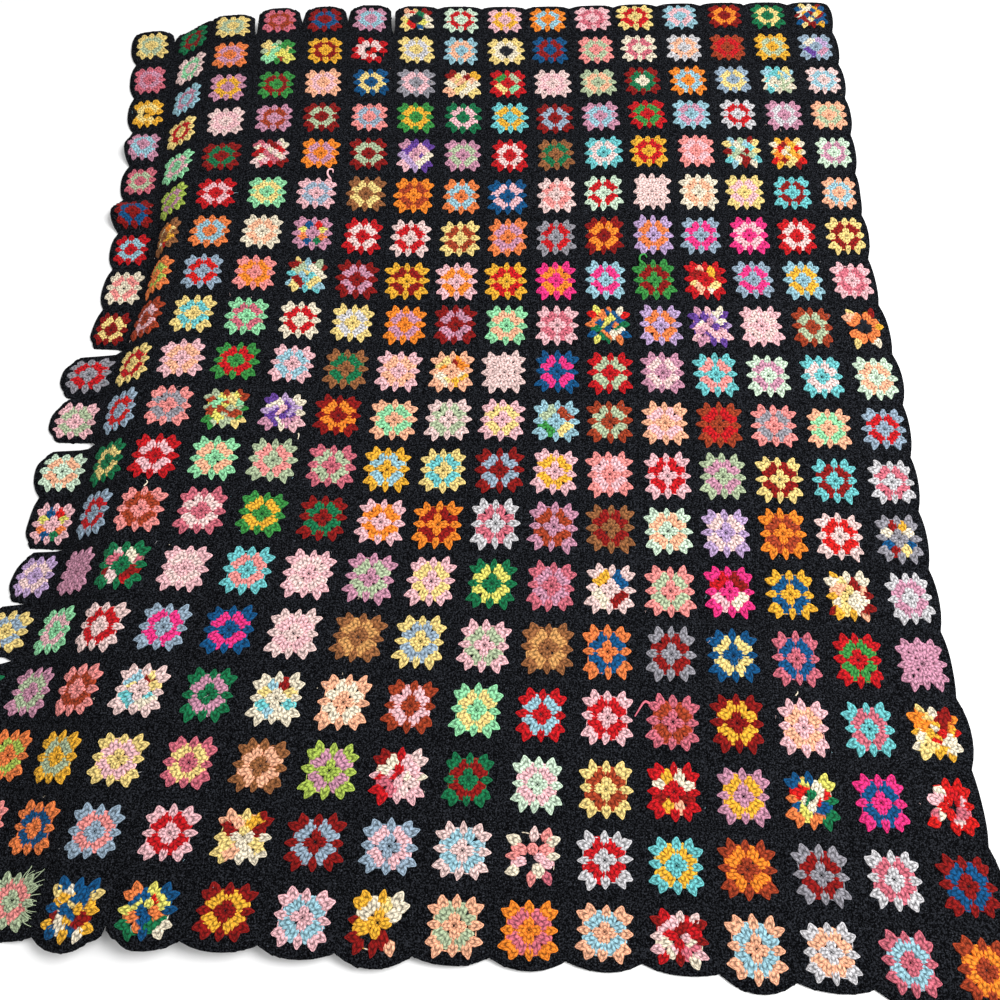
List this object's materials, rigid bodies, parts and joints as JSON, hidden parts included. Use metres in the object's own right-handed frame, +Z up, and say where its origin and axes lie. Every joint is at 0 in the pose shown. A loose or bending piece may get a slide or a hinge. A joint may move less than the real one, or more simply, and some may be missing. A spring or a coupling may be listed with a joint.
{
  "type": "granny square blanket",
  "caption": "Crocheted blanket of small bright granny squares edged and joined in black, laid flat with one soft fold along its left side.",
  "frame": {"origin": "centre of the blanket's box, on the surface it lies on", "axes": "+Z up, +Y along the blanket's length to its far end, +X across it to the right, with the fold on the left"},
  "size_m": [1.6234, 1.8894, 0.0702],
  "materials": {
    "black_yarn": "matte navy-black wool yarn in dense crochet, with fine lighter fibres",
    "coloured_yarn": "matte plied wool yarn in many plain and variegated colours, softly fuzzy"
  },
  "bodies": {
    "root": {"blanket": "black_yarn"}
  },
  "joints": []
}
